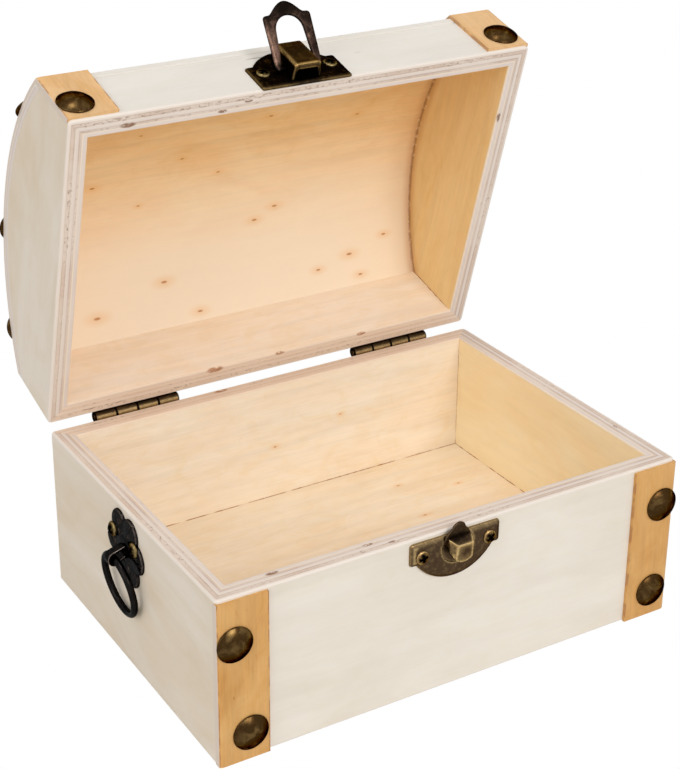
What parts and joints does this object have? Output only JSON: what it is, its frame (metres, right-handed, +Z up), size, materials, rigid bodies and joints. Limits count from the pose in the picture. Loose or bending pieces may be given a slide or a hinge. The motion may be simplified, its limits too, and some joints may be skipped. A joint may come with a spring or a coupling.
{
  "type": "domed wooden ditty box",
  "caption": "Small plywood ditty box shaped like a treasure chest, with a domed hinged lid, stained end straps, dome nails, a bronze duckbill latch and ring pulls.",
  "frame": {"origin": "middle of the rectangle that the walls stand on", "axes": "+X to the right along the front, +Y to the back, +Z up"},
  "size_m": [0.1736, 0.1502, 0.1865],
  "materials": {
    "plywood": "sanded, bare inside, thin whitewash outside",
    "stained_straps": "amber stain, satin",
    "antique_nails": "antiqued, semi-gloss",
    "brass_screws": "antiqued, semi-gloss",
    "dark_ring_pulls": "blackened bronze, semi-gloss",
    "antique_latch": "antiqued, semi-gloss"
  },
  "bodies": {
    "box": {"box_front_wall": "plywood", "box_back_wall": "plywood", "box_left_wall": "plywood", "box_right_wall": "plywood", "box_floor": "plywood", "box_left_strap": "stained_straps", "box_right_strap": "stained_straps", "box_strap_nails": "antique_nails", "duckbill_catch": "antique_latch", "catch_screws": "brass_screws", "left_hinge_box_leaf": "antique_latch", "right_hinge_box_leaf": "antique_latch", "left_hinge_pin": "antique_latch", "right_hinge_pin": "antique_latch", "hinge_box_screws": "antique_latch", "left_handle_rosette": "dark_ring_pulls", "left_handle_eye": "dark_ring_pulls", "left_handle_screws": "brass_screws", "right_handle_rosette": "dark_ring_pulls", "right_handle_eye": "dark_ring_pulls", "right_handle_screws": "brass_screws"},
    "lid": {"lid_front_wall": "plywood", "lid_back_wall": "plywood", "lid_left_wall": "plywood", "lid_right_wall": "plywood", "lid_top": "plywood", "lid_left_front_strap": "stained_straps", "lid_right_front_strap": "stained_straps", "lid_left_top_strap": "stained_straps", "lid_right_top_strap": "stained_straps", "lid_front_nails": "antique_nails", "lid_top_nails": "antique_nails", "hasp_plate": "antique_latch", "hasp_screws": "brass_screws", "left_hinge_lid_leaf": "antique_latch", "right_hinge_lid_leaf": "antique_latch", "hinge_lid_screws": "antique_latch"},
    "bail": {"hasp_bail": "antique_latch"},
    "left_ring": {"left_ring": "dark_ring_pulls"},
    "right_ring": {"right_ring": "dark_ring_pulls"}
  },
  "joints": [
    {"name": "lid_hinge", "type": "hinge", "parent": "box", "child": "lid", "pos_m": [0, 0.0585, 0.054], "axis": [1, 0, 0], "range_deg": [-106, 74]},
    {"name": "bail_hinge", "type": "hinge", "parent": "lid", "child": "bail", "pos_m": [-0.0025, 0.03225, 0.1684], "axis": [1, 0, 0], "range_deg": [-42, 135]},
    {"name": "left_ring_hinge", "type": "hinge", "parent": "box", "child": "left_ring", "pos_m": [-0.0844, 0, 0.0392], "axis": [0, 1, 0], "range_deg": [0, 160]},
    {"name": "right_ring_hinge", "type": "hinge", "parent": "box", "child": "right_ring", "pos_m": [0.0844, 0, 0.0392], "axis": [0, -1, 0], "range_deg": [0, 160]}
  ]
}
